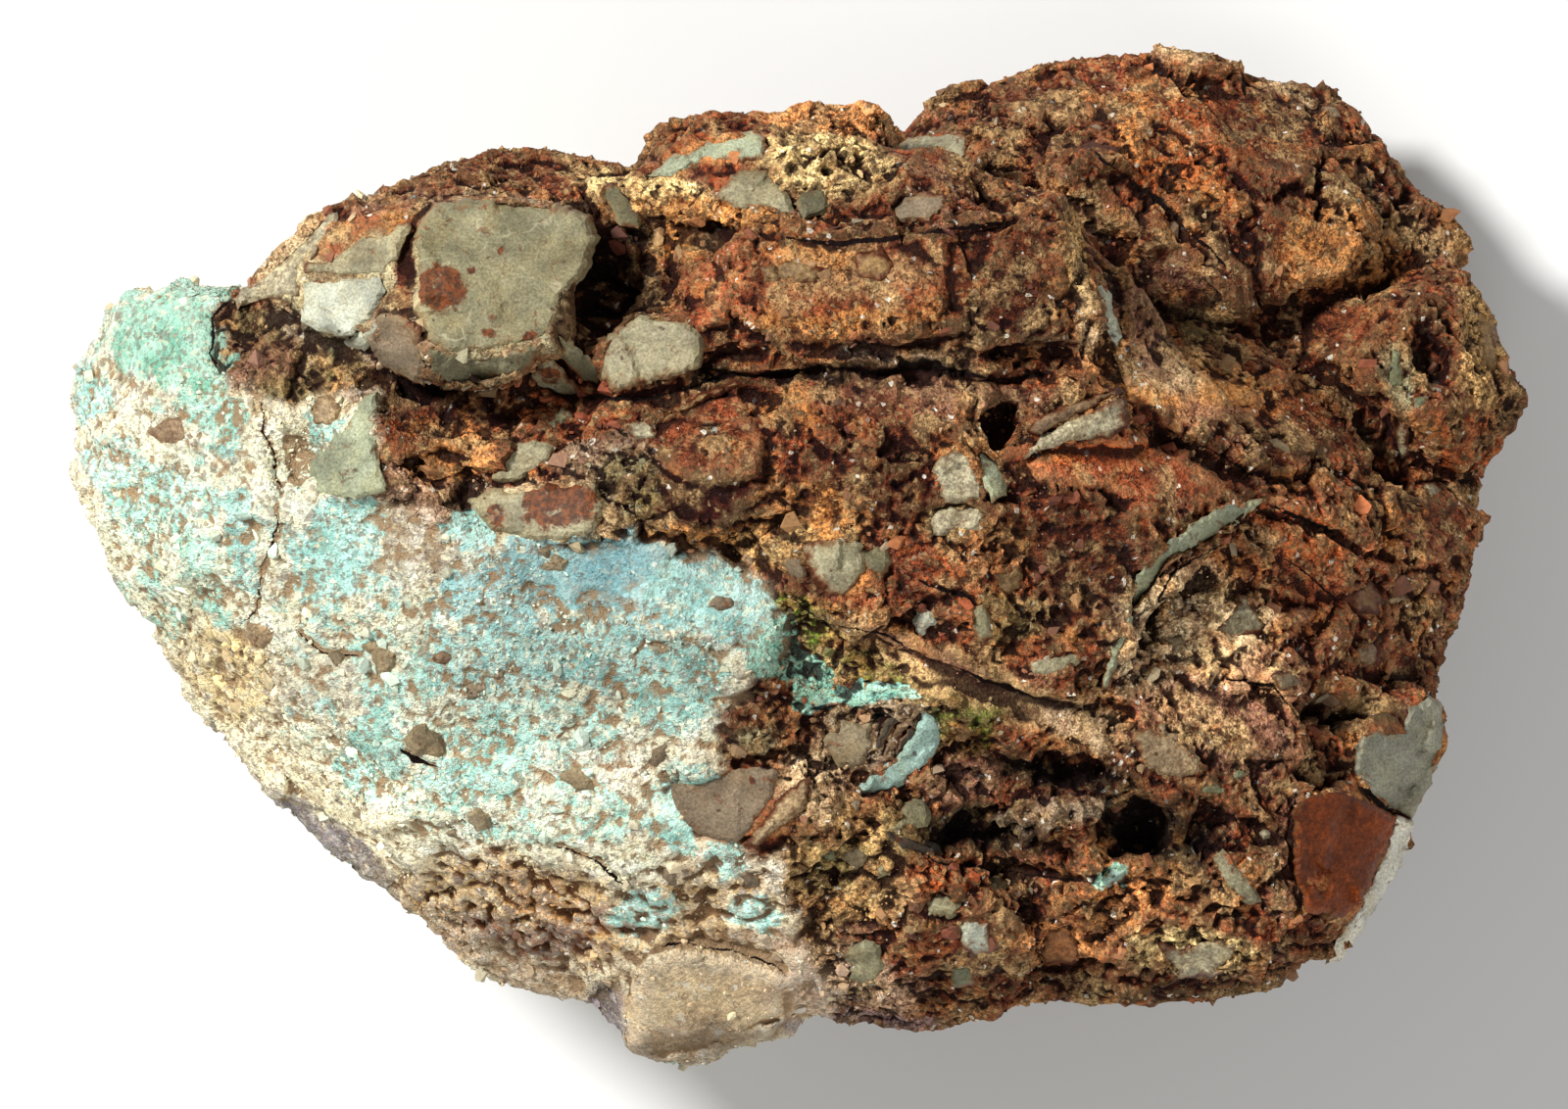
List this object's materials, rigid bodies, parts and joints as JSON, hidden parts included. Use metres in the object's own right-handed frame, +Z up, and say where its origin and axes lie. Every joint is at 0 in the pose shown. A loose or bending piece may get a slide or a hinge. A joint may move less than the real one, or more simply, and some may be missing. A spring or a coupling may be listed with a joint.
{
  "type": "turquoise specimen",
  "caption": "Natural hand specimen of turquoise on brecciated chert: one rough stone that lies on its flat back, with the broken face up.",
  "frame": {"origin": "middle of the stone's box on the plane it rests on", "axes": "+X along the stone's length, from the turquoise end to the brown end; +Y across the showing face, towards the far lobe; +Z up, out of the showing face"},
  "size_m": [0.114, 0.0798, 0.0575],
  "materials": {
    "iron_stained_rock": "rough broken rock: iron-stained brown chert breccia, with a pale altered end that carries turquoise; dry and matt, with a dull waxy lustre on the chert fragments"
  },
  "bodies": {
    "root": {"turquoise_stone": "iron_stained_rock"}
  },
  "joints": []
}
